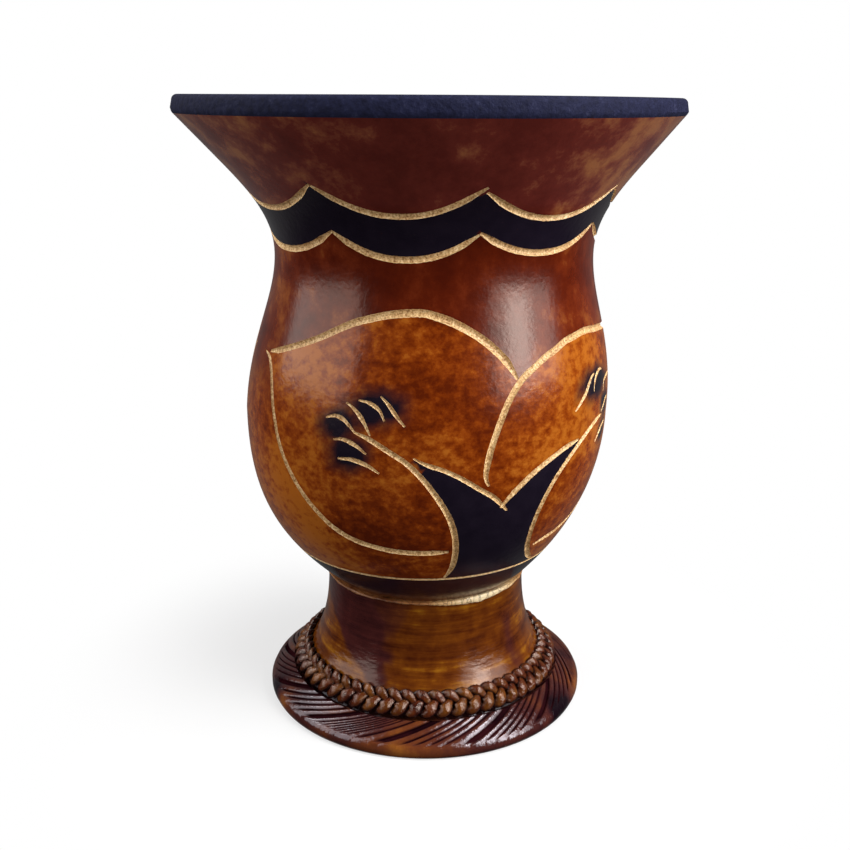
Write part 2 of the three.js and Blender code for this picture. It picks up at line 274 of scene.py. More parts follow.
def grade(finish, factor, stops):
    """Colours laid along a factor: pairs of a place from 0 to 1 and a colour."""
    ramp = add(finish, "ValToRGB", {"Fac": factor})
    elements = ramp.color_ramp.elements
    for _ in stops[2:]:
        elements.new(0.5)
    for element, (place, colour) in zip(elements, stops):
        element.position = place
        element.color = colour
    return ramp.outputs["Color"]


def blend(finish, factor, first, second):
    """Two colours mixed by a factor."""
    mix = add(finish, "Mix", {0: factor, 6: first, 7: second}, data_type="RGBA")
    return mix.outputs[2]


def stored(finish, name):
    """The numbers kept on the vertices under a name."""
    return add(finish, "Attribute", {}, attribute_name=name).outputs["Fac"]


def combine(finish, first, second, way="ADD"):
    """Two patterns added, or taken together in another way, and kept between 0 and 1."""
    return add(finish, "Math", {0: first, 1: second}, operation=way, use_clamp=True).outputs[0]


def lay_on(finish, pattern, share, ground):
    """A share of one pattern laid on another, or on one even number."""
    laid = add(finish, "Math", {0: pattern, 1: share, 2: ground}, operation="MULTIPLY_ADD")
    return laid.outputs[0]


def coat_with(finish, colour, bumps=None, bump_height=0.0, polish=None):
    """Links a colour, and where they are given a bump pattern and a polish, to the shader."""
    shader = finish.node_tree.nodes["Principled BSDF"]
    finish.node_tree.links.new(colour, shader.inputs["Base Color"])
    if bumps:
        bump = add(finish, "Bump", {"Height": bumps, "Distance": bump_height, "Strength": 1.0})
        finish.node_tree.links.new(bump.outputs["Normal"], shader.inputs["Normal"])
    if polish:
        finish.node_tree.links.new(polish, shader.inputs["Specular IOR Level"])


fluted = new_finish("fluted_wood", 0.12, 0.8, (0.94, 0.92, 1.0, 1.0))
toned = combine(fluted, mottle(fluted, 110, detail=6, roughness=0.65), 0.6, "MULTIPLY")
toned = lay_on(fluted, stored(fluted, "amber"), 0.5, toned)
wash = grade(fluted, toned, [
    (0.2, srgb(20, 8, 15)),
    (0.32, srgb(50, 21, 23)),
    (0.42, srgb(70, 33, 28)),
    (0.54, srgb(96, 48, 24)),
    (0.68, srgb(136, 80, 28)),
])
# The flutes' hollows, and the groove under the plait, are coloured darker than the ribs.
hollow_colour = grade(fluted, mottle(fluted, 160), [(0.4, srgb(22, 5, 9)), (0.65, srgb(42, 13, 17))])
ridge = grade(fluted, stored(fluted, "carving"), [(0.25, (0, 0, 0, 1)), (0.8, (1, 1, 1, 1))])
polish = combine(fluted, ridge, 0.8, "MULTIPLY")
coat_with(fluted, blend(fluted, ridge, hollow_colour, wash), mottle(fluted, 600), 0.16 * mm, polish)
foot_base.data.materials.append(fluted)
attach(foot_base, "root")
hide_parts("foot_base")

# Foot stem: a flared collar turned from wood, dished on top for the bowl, with a spigot that
# is glued into the base. The stain was brushed on round it, so it lies in level streaks,
# with one dark patch on the left, under gloss lacquer. Below its rim, under the plait, it is
# painted dark as shade.
seat_radius = 23.8 * mm
seat_height = 31.9 * mm
stem_top_height = 30.7 * mm
stem_rim_lean = math.radians(33)
stem_rim_lift = 1.75 * mm
stem_reach_rim = 5 * mm
stem_reach_top = 10 * mm
dish_depth = 7.5 * mm
dish_rim = 1.2 * mm
dish_shoulder = seat_radius * 0.72
dish_flat = seat_radius * 0.4
spigot_radius = 12 * mm
spigot_length = 5 * mm
turned_columns = 240
# The dark patch of stain reaches from the left to a ragged edge near the front, and its foot
# climbs to the left. A drip of the same stain runs down at the right. Angles are in degrees and
# heights in millimetres.
ragged = [(14, 130), (6, 420)]
ragged_foot = 0.12
ragged_edge = 0.5
ragged_drip = 0.25
patch_back = -130
patch_left = -75
patch_left_foot = 24.6
patch_fall = 0.3
patch_foot_softness = 1.2
patch_right = -19
patch_right_softness = 3
patch_softens_above = 16
drip_at = (53, 4.5)
drip_top = 27
drip_fade = 5
drip_tone = 0.8
rim_shade = 0.4 * mm
lacquer_tint = (1.0, 0.82, 0.72, 1.0)
stem_foot = on_plait(-plait_inner_side, -groove_depth)
stem_rim = on_plait(-plait_inner_side, stem_rim_lift - groove_depth)
stem_top = Vector((seat_radius, 0, stem_top_height))
rim_way = Vector((-math.sin(stem_rim_lean), 0, math.cos(stem_rim_lean)))
stem_side = geometry.interpolate_bezier(
    stem_rim, stem_rim + rim_way * stem_reach_rim,
    stem_top - Vector((0, 0, stem_reach_top)), stem_top, 40)
dish_floor = Vector((0, 0, stem_top_height - dish_depth))
dish = geometry.interpolate_bezier(
    stem_top - Vector((dish_rim, 0, 0)), Vector((dish_shoulder, 0, dish_floor.z)),
    Vector((dish_flat, 0, dish_floor.z)), dish_floor, 14)
stem_outline = [
    Vector((0, 0, stem_foot.z - spigot_length)),
    Vector((spigot_radius, 0, stem_foot.z - spigot_length)),
    Vector((spigot_radius, 0, stem_foot.z)),
    stem_foot,
    *stem_side,
    *dish,
]
stem_form = spin_outline(stem_outline, turned_columns)
foot_stem = make_piece("foot_stem_turned", stem_form)
dark_patch_and_shade = []
for vertex in foot_stem.data.vertices:
    angle = front_angle(vertex.co)
    wander = sum(size * noise.noise(vertex.co * scale) for size, scale in ragged)
    height = vertex.co.z / mm
    patch_foot = patch_left_foot - patch_fall * (angle - patch_left)
    softness = patch_right_softness + max(0, height - patch_softens_above)
    above_foot = limit((height - patch_foot + wander * ragged_foot) / patch_foot_softness)
    left_of_edge = limit((patch_right - angle + wander * ragged_edge) / softness + 0.5)
    patch = above_foot * left_of_edge * (angle > patch_back)
    drip = bell(angle + wander * ragged_drip, *drip_at) * limit((drip_top - height) / drip_fade)
    # Below the rim, where the plait lies over the stem, it is painted dark as shade.
    shade_under_rim = limit((stem_rim.z - vertex.co.z) / rim_shade)
    dark_patch_and_shade.append(max(patch, drip_tone * drip, shade_under_rim))
store(foot_stem, "dark_patch_and_shade", dark_patch_and_shade)
streaked = new_finish("streaked_stain", 0.15, 0.52, lacquer_tint)
streaks = mottle(streaked, 60, (0.5, 0.5, 7), detail=7, roughness=0.66)
streaks = combine(streaked, streaks, 0.68, "MULTIPLY")
specks = combine(streaked, mottle(streaked, 300), 0.32, "MULTIPLY")
streaks = combine(streaked, streaks, specks)
stem_amber = grade(streaked, streaks, [
    (0.37, srgb(62, 22, 5)),
    (0.47, srgb(88, 40, 8)),
    (0.55, srgb(106, 54, 10)),
    (0.66, srgb(146, 92, 18)),
])
stem_dark = grade(streaked, streaks, [(0.36, srgb(48, 18, 19)), (0.64, srgb(76, 33, 30))])
# The dark stain colour serves both the real dark patch and the painted shade below the rim.
stem_colour = blend(streaked, stored(streaked, "dark_patch_and_shade"), stem_amber, stem_dark)
coat_with(streaked, stem_colour, mottle(streaked, 260, (1, 1, 3), detail=5), 0.13 * mm)
foot_stem.data.materials.append(streaked)
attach(foot_stem, "root")
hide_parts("foot_stem")

# Plait: three strands plaited flat and laid round the stem's lower rim, so that their
# chevrons point to the right. They were soaked in lacquer, and are painted dark as shade on
# their undersides and where one strand runs under another.
strand_half_width = 1.37 * mm
strand_half_depth = 0.86 * mm
strand_pinch = 0.5
strand_taper = math.radians(30)
strand_fullness = 0.9
plait_swing = 2.05 * mm
plait_lean = 0.4 * mm
plait_set_in = 0.5 * mm
plait_lift = 0.56 * mm
plait_repeats = 19
outer_row_extra = 0.14
strand_count = 3
strand_sides = 12
strand_steps = 24
# Where one strand runs under another it is painted dark as shade: from this share of its dip, and this
# fast.
under_strand_shade_from = 0.3
under_strand_shade_rate = 2
plaited = new_finish("plaited_strand", 0.15, 0.65, (1.0, 0.85, 0.76, 1.0))
strand_wash = grade(plaited, mottle(plaited, 170, detail=7, roughness=0.7), [
    (0.34, srgb(48, 16, 9)),
    (0.46, srgb(84, 36, 15)),
    (0.54, srgb(86, 46, 14)),
    (0.68, srgb(126, 72, 26)),
])
# Each strand is painted dark as shade on its underside and where it runs under another.
strand_unshaded = grade(plaited, stored(plaited, "crown"), [(0.3, (0, 0, 0, 1)), (0.85, (1, 1, 1, 1))])
strand_colour = blend(plaited, strand_unshaded, srgb(30, 9, 11), strand_wash)
coat_with(plaited, strand_colour, mottle(plaited, 1000, detail=4), 0.3 * mm)
for number in range(strand_count):
    strand_form = bmesh.new()
    upright = Matrix.Rotation(math.pi / 2, 4, "X")
    bmesh.ops.create_circle(strand_form, segments=strand_sides, radius=strand_half_width,
                            matrix=Matrix.Translation((plait_radius, 0, 0)) @ upright)
    bmesh.ops.spin(strand_form, geom=strand_form.verts[:] + strand_form.edges[:], cent=(0, 0, 0),
                   axis=(0, 0, 1), dvec=(0, 0, 0), angle=2 * math.pi,
                   steps=plait_repeats * strand_steps, use_merge=True)
    bmesh.ops.remove_doubles(strand_form, verts=strand_form.verts, dist=seam)
    crown = []
    for vertex in strand_form.verts:
        turn = math.atan2(vertex.co.y, vertex.co.x)
        around = math.atan2(vertex.co.z, math.hypot(vertex.co.x, vertex.co.y) - plait_radius)
        phase = plait_repeats * turn + 2 * math.pi * number / strand_count
        section = 1 - strand_pinch * (0.5 + 0.5 * math.sin(2 * phase + strand_taper))
        section *= 1 + outer_row_extra * math.sin(phase)
        slant = plait_swing * math.cos(phase) + plait_lean * math.sin(2 * phase)
        heading = math.atan2(plait_repeats * slant, plait_radius)
        sideways = strand_half_width * section * math.cos(around)
        across = plait_swing * math.sin(phase) + plait_lean * math.sin(phase) ** 2 - plait_set_in
        across += sideways * math.cos(heading)
        hump = math.copysign(abs(math.sin(around)) ** strand_fullness, math.sin(around))
        out = strand_half_depth * section * hump - plait_lift * math.sin(2 * phase)
        place = on_plait(across, out)
        turn -= sideways * math.sin(heading) / plait_radius
        # Painted shade where the strand runs under the next one, and on its underside.
        covered = limit((math.sin(2 * phase) - under_strand_shade_from) * under_strand_shade_rate)
        crown.append(max(math.sin(around), 0) * (1 - covered))
        vertex.co = (place.x * math.cos(turn), place.x * math.sin(turn), place.z)
    bmesh.ops.recalc_face_normals(strand_form, faces=strand_form.faces)
    strand = make_piece(f"plait_strand_{number + 1}", strand_form, 180)
    store(strand, "crown", crown)
    strand.data.materials.append(plaited)
    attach(strand, "root")
    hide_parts(f"braid_strand_{number + 1}")

# Joint filler: the bed of cream putty that glues the bowl's rounded bottom into the stem.
# What was squeezed out was wiped round the joint as a thin bead, thickest at the right of
# the front, and it has cracked since.
bed_thickness = 1.0 * mm
bed_rim = Vector((-1.6 * mm, 0, 0.1 * mm))
bed_step_in = 0.4 * mm
bead_radius = 0.4 * mm
bead_height = 31.0 * mm
bead_stands_out = 0.05 * mm
bead_arc = math.radians(110)
bead_columns = 360
# Where the bead is thick, and where it is pale: the middle and half the width, in degrees.
thick_front = (31, 19)
thick_back = (-160, 40)
thick_back_share = 0.5
pale_front = (36, 26)
pale_share = 0.8
# How the bead swells outwards, in millimetres, and how it grows or shrinks in height.
swell_even = 0.05
swell_thick = 0.25
swell_lump = 0.16
tall_even = -0.3
tall_thick = 1.3
tall_lump = 0.5
bed_floor = stem_top_height - dish_depth + fit
bead_centre = Vector((seat_radius + bead_stands_out, 0, bead_height))
bead = [bead_centre + bead_radius * Vector((math.cos(turn), 0, math.sin(turn)))
        for turn in np.linspace(-bead_arc, bead_arc, 11)]
bed_below = geometry.interpolate_bezier(
    Vector((0, 0, bed_floor)), Vector((dish_flat, 0, bed_floor)),
    Vector((dish_shoulder, 0, bed_floor)), stem_top + bed_rim, 12)
bed_above = [point + Vector((-bed_step_in, 0, bed_thickness)) for point in bed_below[:0:-1]]
bed_top = Vector((0, 0, bed_floor + bed_thickness))
filler_form = spin_outline([*bed_below, *bead, *bed_above, bed_top], bead_columns)
for vertex in filler_form.verts:
    angle = front_angle(vertex.co)
    radius = math.hypot(vertex.co.x, vertex.co.y)
    if radius < seat_radius - bead_radius:
        continue
    thick = bell(angle, *thick_front) + thick_back_share * bell(angle, *thick_back)
    lump = noise.noise(Vector((angle / 5, vertex.co.z * 900, 2)))
    lump += noise.noise(Vector((angle / 1.7, 5, 1))) / 2
    swell = (swell_even + swell_thick * thick + swell_lump * lump) * mm
    vertex.co.x *= 1 + swell / radius
    vertex.co.y *= 1 + swell / radius
    taller = tall_thick * thick + tall_lump * lump + tall_even
    vertex.co.z += (vertex.co.z - bead_height) * taller
joint_filler = make_piece("joint_filler_bead", filler_form, 60)
paleness = [pale_share * bell(front_angle(vertex.co), *pale_front)
            for vertex in joint_filler.data.vertices]
store(joint_filler, "pale", paleness)
putty = new_finish("cracked_putty", 0.35, 0.5)
putty_place = add(putty, "TexCoord", {}).outputs["Object"]
putty_place = add(putty, "Mapping", {"Vector": putty_place, "Scale": (1, 1, 0.35)}).outputs["Vector"]
cracks = add(putty, "TexVoronoi", {"Vector": putty_place, "Scale": 700.0}, feature="DISTANCE_TO_EDGE")
crack_line = grade(putty, cracks.outputs["Distance"], [
    (0.01, (0.3, 0.3, 0.3, 1)),
    (0.07, (1, 1, 1, 1)),
])
putty_pale = combine(putty, mottle(putty, 200, detail=5), 0.45, "MULTIPLY")
putty_pale = combine(putty, putty_pale, stored(putty, "pale"))
putty_tone = grade(putty, putty_pale, [
    (0.15, srgb(104, 56, 28)),
    (0.3, srgb(168, 112, 66)),
    (0.6, srgb(212, 172, 118)),
    (0.95, srgb(236, 212, 168)),
])
putty_colour = blend(putty, crack_line, srgb(84, 42, 20), putty_tone)
coat_with(putty, putty_colour, cracks.outputs["Distance"], 0.25 * mm)
joint_filler.data.materials.append(putty)
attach(joint_filler, "root")
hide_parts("joint_filler")

# Gourd bowl: one dried calabash, cut off at its belled mouth and scraped out. Its shell is
# stained amber to red-brown, painted and scorched black in places, carved with a gouge down
# to the pale flesh, and lacquered. The cut lip is black and matt, with a bluish reflection
# painted into its colour, and the inside is bare.
bowl_low, bowl_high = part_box("gourd_bowl")
rim_height = bowl_high.z
bottom_height = bowl_low.z
mouth_radius = (bowl_high.y - bowl_low.y) / 2
seat_lean = math.radians(47)
belly = Vector((42 * mm, 0, 72.6 * mm))
waist = Vector((35.9 * mm, 0, 107.9 * mm))
lip_height = 3.9 * mm
lip_set_back = 0.3 * mm
lip_bulge = 0.45 * mm
lip_shift = 0.35 * mm
corner_round = 1.2 * mm
lip_foot_rise = 0.3 * mm
lip_side_rise = 1.2 * mm
lip_inner_set = 0.6 * mm
lip_inner_round = Vector((0.4 * mm, 0, 0.5 * mm))
rim_dip = 0.5 * mm
flare_lean = math.radians(41.5)
flare_length = 13.5 * mm
wall_thickness = 5 * mm
bottom_extra = 3 * mm
hollow_bottom = 4 * mm
neck_sway = 1.5 * mm
belly_sway = 0.9 * mm
belly_sway_low = 1.6
rim_dip_to_right = 0.4
# How far the curve of the wall keeps its direction on each side of seat, belly, waist and flare.
seat_reach = 12.5 * mm
belly_reach_down = 21.2 * mm
belly_reach_up = 15.9 * mm
waist_reach_down = 10.3 * mm
waist_reach_up = 7.6 * mm
flare_reach = 8.7 * mm
up = Vector((0, 0, 1))
aside = Vector((1, 0, 0))
seat = Vector((seat_radius, 0, seat_height))
seat_way = Vector((math.sin(seat_lean), 0, math.cos(seat_lean)))
flare_way = Vector((math.sin(flare_lean), 0, math.cos(flare_lean)))
lip = Vector((mouth_radius, 0, rim_height - lip_height))
flare = lip - flare_way * flare_length
bottom_turn = seat - seat_way * (seat_height - bottom_height) / seat_way.z
bottom = Vector((0, 0, bottom_height))
outer_wall = [
    *geometry.interpolate_bezier(
        bottom, bottom_turn * 2 / 3 + bottom / 3, bottom_turn * 2 / 3 + seat / 3, seat, 12),
    *geometry.interpolate_bezier(
        seat, seat + seat_way * seat_reach, belly - up * belly_reach_down, belly, 46)[1:],
    *geometry.interpolate_bezier(
        belly, belly + up * belly_reach_up, waist - up * waist_reach_down, waist, 36)[1:],
    *geometry.interpolate_bezier(
        waist, waist + up * waist_reach_up, flare - flare_way * flare_reach, flare, 24)[1:],
    *[flare + flare_way * flare_length * step / 12 for step in range(1, 13)],
]
inner_wall = []
for before, here, after in list(zip(outer_wall, outer_wall[1:], outer_wall[2:]))[::3]:
    way = (after - before).normalized()
    depth_share = limit((belly.z - here.z) / (belly.z - bottom_height))
    thickness = wall_thickness + bottom_extra * depth_share ** 2
    inner_wall.append(here + Vector((-way.z, 0, way.x)) * thickness)
inner_top = rim_height - corner_round
inner_wall = [point for point in inner_wall if point.x > hollow_bottom and point.z < inner_top]
lip_out = Vector((mouth_radius - lip_set_back, 0, rim_height))
lip_in = Vector((inner_wall[-1].x + lip_inner_set, 0, rim_height))
over = aside * lip_bulge
corner_centre = lip_out + over - (aside + up) * corner_round
lip_corner = [corner_centre + (aside * math.cos(turn) + up * math.sin(turn)) * corner_round
              for turn in np.linspace(0, math.pi / 2, 6)]
lip_rounding = [
    lip + over * 0.5 + up * lip_foot_rise,
    lip + over + up * lip_side_rise,
    *lip_corner,
    (lip_out + lip_in) / 2,
    lip_in,
    lip_in - lip_inner_round,
]
inner_floor = Vector((0, 0, inner_wall[0].z))
bowl_outline = [*outer_wall, *lip_rounding, *inner_wall[::-1], inner_floor]


def sway(height):
    """How far the gourd bends aside at a height: its neck and lip to the right, its lower belly
    to the left."""
    rise = np.clip((height - belly.z) / (rim_height - belly.z), 0, 1)
    drop = np.clip((belly.z - height) / (belly.z - seat_height), 0, 1)
    at_lip = np.clip((height - lip.z) / lip_height, 0, 1)
    to_left = belly_sway * np.sin(math.pi * drop ** belly_sway_low)
    return neck_sway * np.sin(math.pi * rise) - to_left + lip_shift * at_lip


bowl_form = spin_outline(bowl_outline, turned_columns)
for vertex in bowl_form.verts:
    if vertex.co.z > lip.z + 1 * mm:
        to_right = vertex.co.x / mouth_radius
        lean = 1 - rim_dip_to_right + rim_dip_to_right * to_right
        vertex.co.z -= rim_dip * to_right ** 2 * lean
    vertex.co.x += float(sway(vertex.co.z))
gourd_bowl = make_piece("gourd_bowl_carved", bowl_form)
store(gourd_bowl, "tick", np.zeros(len(gourd_bowl.data.vertices)))

# The carving is drawn on the wall as an angle from the front and a depth below the rim, in
# degrees and millimetres. Each line is one pull of the gouge, with its width at start and end.
scallop_cusps = [-86.0, -33.0, 13.5, 61.8, 114.8, 167.8, 220.9, 274.0]
scallop_fullness = 2.2
scallop_widths = (1.5, 1.4)
# Depth of cusp and trough on the upper and the lower edge of each scallop in turn.
scallops = [
    ((16.6, 22.3), (26.0, 30.9)), ((16.4, 22.2), (25.8, 30.9)),
    ((17.4, 23.1), (25.5, 30.2)), ((18.2, 23.2), (25.6, 30.4)),
]
petal_left_top = [
    (-60, 52.8), (-55, 52), (-50, 50.9), (-45, 49.7), (-40, 48.4), (-35, 46.9), (-30, 45.2),
    (-25, 43.7), (-20, 42.7), (-15, 41.9), (-10, 41.4), (-4, 41.2), (0, 41.7), (5, 42.8),
    (10, 44.4), (15, 46.5), (20, 49.4), (23, 51.8), (25.5, 54.6),
]
petal_left_under = [
    (-63.5, 53.2), (-60, 54), (-57.5, 55.7), (-55, 58.8), (-52.5, 63.3), (-50, 67.5),
    (-47.5, 72), (-45, 75.3), (-40, 80.2), (-35, 84), (-30, 87.1), (-25, 89.2),
    (-20, 90.5), (-15, 91.3), (-10, 91.9), (-5, 92.2), (0, 92.3), (5, 92.2), (8.7, 92),
]
stalk_left = [
    (-21, 65), (-16, 66.3), (-10, 68.7), (-5, 71.1), (0, 74.9), (5, 80), (8, 84), (10, 88),
    (11, 92), (11, 96), (10, 98.5), (8.5, 100.2),
]
petal_right_top = [
    (18.2, 76.3), (17.2, 74.8), (17, 73), (17.6, 70), (18.7, 66.5), (20.2, 63), (22.3, 59.3),
    (25, 56.3), (28, 54.2), (32, 52.5), (36, 51), (40, 50), (45, 48.7), (50, 48.2),
    (55, 47.8), (60, 47.9), (65, 48.3), (70, 48.6), (78, 49.3), (86, 50.1), (94, 51.2), (99, 52.4),
]
petal_right_under = [
    (43, 94.9), (47, 94.2), (52, 93.7), (57, 93), (63, 91.8), (70, 89.4), (77, 85.8),
    (83, 81.5), (88, 75.5), (92, 67.5), (96, 58.8), (98.5, 55), (101.5, 53.2),
]
stalk_right = [
    (67.5, 67.6), (63, 67.9), (58, 69), (54, 70.3), (50, 72), (46, 74.3), (42.5, 77), (40, 80),
    (38.5, 83), (37.7, 86), (37.7, 89), (38.5, 92), (40, 94.7), (43, 97.3), (46, 99), (49, 100.2),
]
calyx_left = [
    (-3.5, 69.7), (0, 71), (5, 72.3), (10, 74.2), (15, 76.6), (20, 79), (23, 81), (25.3, 82.7),
]
calyx_right = [
    (23, 81.8), (25, 79.8), (28, 77.6), (32, 75.2), (36, 73.5), (40, 72.2), (45, 71), (51, 70.3),
]
stamens = [
    [(-30, 62.8), (-27, 62.2), (-24, 62.9), (-20.5, 65.2)],
    [(-24, 59.2), (-21, 60.6), (-18.5, 62.5), (-16, 65.5)],
    [(-20.3, 58.5), (-17, 58.9), (-14, 60.2), (-12.3, 62.3)],
    [(-14, 57.4), (-11.5, 59), (-9, 61.2), (-6.5, 63.2)],
    [(-27, 67.1), (-24, 66.8), (-20, 67.8), (-16.8, 69.4)],
    [(-25.5, 71), (-21, 70.9), (-16.5, 71.8), (-13, 73.3)],
    [(48, 63.8), (51, 62.2), (54, 60.5), (56, 58.9), (58, 57.7), (60, 57.3)],
    [(59.4, 61.3), (60, 59.3), (62, 57.7), (65, 57), (67, 57.4)],
    [(68.2, 62.5), (68.8, 60.7), (71, 60), (75, 59.8), (80, 60)],
    [(67, 67), (69.5, 65.8), (72, 64.9), (75, 64.6)],
    [(63, 73.2), (66, 71.8), (69, 70.6), (73, 70)],
]
flower_lines = [
    (petal_left_top, 1.4, 1.8),
    (petal_left_under, 1.05, 1.65),
    (petal_right_top, 1.5, 1.6),
    (petal_right_under, 1.6, 1.3),
    (stalk_left, 1.1, 1.5),
    (stalk_right, 1.1, 1.5),
    (calyx_left, 0.9, 1.2),
    (calyx_right, 1.5, 1.2),
    *[(line, 1.0, 1.0) for line in stamens],
]
# Where a hot iron blackened the shell: the middle, and half the width and height.
scorch_marks = [
    (-15, 60, 11, 4.4), (-25.5, 64, 7.5, 4.2), (-22.5, 69.8, 7.5, 5),
    (61, 59.5, 13, 4.6), (70, 65.5, 6, 4), (69, 71.5, 5, 3.5),
]
flower_start = -64.0
flower_repeat = 180.0
ring_depth = 100.7
ring_width = 0.8
# The gouge is set in steps along a line, and chatters by chance. It is narrow for the first few
# steps at each end, and its axis stands out from the wall, so that it cuts less than half deep.
random.seed(7)
gouge_seam = 0.0005 * mm
gouge_spacing = 0.55
gouge_entry = 0.4
gouge_entry_steps = 9
gouge_fullness = 1.02
gouge_chatter = 0.12
gouge_stands_out = 0.35
shown_wall = outer_wall[11:]
wall_height = np.array([point.z for point in shown_wall])
wall_radius = np.array([point.x for point in shown_wall])
wall_slope = np.gradient(wall_radius, wall_height)


def on_bowl(angle, depth, out):
    """Point at an angle and a depth on the wall, standing out from it by a distance."""
    height = rim_height - depth * mm
    tilt = math.atan(np.interp(height, wall_height, wall_slope))
    radius = np.interp(height, wall_height, wall_radius) + out * math.cos(tilt)
    turn = math.radians(angle)
    x = radius * math.sin(turn) + sway(height)
    y = -radius * math.cos(turn)
    z = height - out * math.sin(tilt)
    return Vector((float(x), float(y), float(z)))


def smooth_line(points, spacing):
    """A line drawn smoothly through its points, with samples about a spacing apart."""
    knots = [Vector((angle, depth, 0)) for angle, depth in points]
    knots = [2 * knots[0] - knots[1], *knots, 2 * knots[-1] - knots[-2]]
    line = []
    for before, start, end, after in zip(knots, knots[1:], knots[2:], knots[3:]):
        count = max(2, round((end - start).length / spacing))
        leave = start + (end - before) / 6
        arrive = end - (after - start) / 6
        line += geometry.interpolate_bezier(start, leave, arrive, end, count + 1)[:-1]
    return line + [knots[-2]]


def pull_gouge(bowl, points, width, end_width, closed=False):
    """Cuts one line into the wall: a round gouge whose edge chatters and lifts out at both ends."""
    line = smooth_line(points, gouge_spacing)
    tool = bpy.data.curves.new("gouge", "CURVE")
    tool.dimensions = "3D"
    tool.bevel_depth = 1.0
    tool.bevel_resolution = 3
    tool.use_fill_caps = True
    path = tool.splines.new("POLY")
    path.points.add(len(line) - 1 - closed)
    path.use_cyclic_u = closed
    ticks = [random.random() for _ in line]
    rings = KDTree(len(line))
    for step, (point, place) in enumerate(zip(path.points, line)):
        to_end = min(step, len(line) - 1 - step)
        entry = 1.0 if closed else limit(to_end / gouge_entry_steps)
        taper = gouge_entry + (1 - gouge_entry) * entry
        chatter = gouge_fullness + gouge_chatter * ticks[step] ** 2
        share = step / len(line)
        radius = (width + (end_width - width) * share) / 2 * taper * chatter * mm
        point.co = (*on_bowl(place.x, place.y, radius * gouge_stands_out), 1)
        point.radius = radius
        rings.insert(point.co.xyz, step)
    rings.balance()
    cutter = bpy.data.objects.new("gouge", tool)
    bpy.context.scene.collection.objects.link(cutter)
    tube = bpy.data.meshes.new_from_object(cutter.evaluated_get(bpy.context.evaluated_depsgraph_get()))
    bpy.data.objects.remove(cutter)
    bpy.data.curves.remove(tool)
    rod = bmesh.new()
    rod.from_mesh(tube)
    bmesh.ops.remove_doubles(rod, verts=rod.verts, dist=gouge_seam)
    bmesh.ops.recalc_face_normals(rod, faces=rod.faces)
    tick = rod.verts.layers.float.new("tick")
    for vertex in rod.verts:
        vertex[tick] = ticks[rings.find(vertex.co)[1]]
    rod.to_mesh(tube)
    rod.free()
    cutter = bpy.data.objects.new("gouge", tube)
    bpy.context.scene.collection.objects.link(cutter)
    cut = bowl.modifiers.new("cut", "BOOLEAN")
    cut.object = cutter
    cut.operation = "DIFFERENCE"
    cut.solver = "MANIFOLD"
    carved = bpy.data.meshes.new_from_object(bowl.evaluated_get(bpy.context.evaluated_depsgraph_get()))
    bowl.modifiers.clear()
    plain = bowl.data
    bowl.data = carved
    bpy.data.meshes.remove(plain)
    bpy.data.objects.remove(cutter)
    bpy.data.meshes.remove(tube)


band_upper = []
band_lower = []
for number, (start, end) in enumerate(zip(scallop_cusps, scallop_cusps[1:])):
    for line, (cusp, trough) in zip((band_upper, band_lower), scallops[number % len(scallops)]):
        swag = []
        for share in np.linspace(0, 1, 9):
            rise = (trough - cusp) * abs(2 * share - 1) ** scallop_fullness
            swag.append((start + (end - start) * share, trough - rise))
        pull_gouge(gourd_bowl, swag, *scallop_widths)
        line += swag[:-1]
for line, width, end_width in flower_lines:
    for shift in (0.0, flower_repeat):
        pull_gouge(gourd_bowl, [(angle + shift, depth) for angle, depth in line], width, end_width)
ring = [(angle, ring_depth) for angle in range(-180, 181, 4)]
pull_gouge(gourd_bowl, ring, ring_width, ring_width, closed=True)

# What lies where on the carved wall: paint in the band and in the calyx, scorched patches round
# the stamens, amber stain inside the petals and on the lower belly. Below the ring line the
# shell is black, as paint and as painted shade under the bowl, and painted lighter near the bead
# as a reflection. The shell is lighter at the sides of each flower, darker low in the petals and
# lighter low between them. The flare is painted lighter and bluer than the neck, most at its
# right, as light bounced up from below and a bluish sheen. Depths are in millimetres below the
# rim and angles in degrees.
gouge_crease = math.radians(32)
# Near the bead the black below the ring line is painted lighter, as a reflection.
bead_reflection_from = 107
bead_reflection_over = 3
bead_reflection_share = 0.4
smoke_scale = 300
smoke_share = 0.25
scorch_core = 0.55
scorch_fade = 0.6
amber_from = 54
amber_over = 12
# Low on the belly the shell is darker in the petals and lighter between them.
low_shift_from = 70
low_shift_over = 18
low_shift_in_petal = -0.8
low_shift_between = 0.2
# Where the flare is painted lighter and bluer, as light bounced up from below and a bluish sheen.
flare_end = 24
flare_fade = 4
# The flare is painted lighter still at its right, as more bounced light: how much, where and how wide.
flare_lit_share = 0.7
flare_lit_at = 62
flare_lit_half = 40
flower_middle = 2
# The shell is lighter at the sides of each flower.
lighter_from = 18
lighter_over = 24
mesh = gourd_bowl.data
mesh.name = "gourd_bowl_carved"
mesh.shade_smooth()
mesh.set_sharp_from_angle(angle=gouge_crease)
places = np.zeros(len(mesh.vertices) * 3)
mesh.vertices.foreach_get("co", places)
places = places.reshape(-1, 3)
across = places[:, 0] - sway(places[:, 2])
angles = np.degrees(np.arctan2(across, -places[:, 1]))
depths = (rim_height - places[:, 2]) / mm
petal_angles = (angles - flower_start) % flower_repeat + flower_start


def inside(outline):
    """Which vertices lie inside a closed outline that is drawn on the wall."""
    within = np.zeros(len(depths), bool)
    for (x0, y0), (x1, y1) in zip(outline, outline[1:] + outline[:1]):
        if y0 == y1:
            continue
        beside = petal_angles < (x1 - x0) * (depths - y0) / (y1 - y0) + x0
        within ^= ((y0 > depths) != (y1 > depths)) & beside
    return within


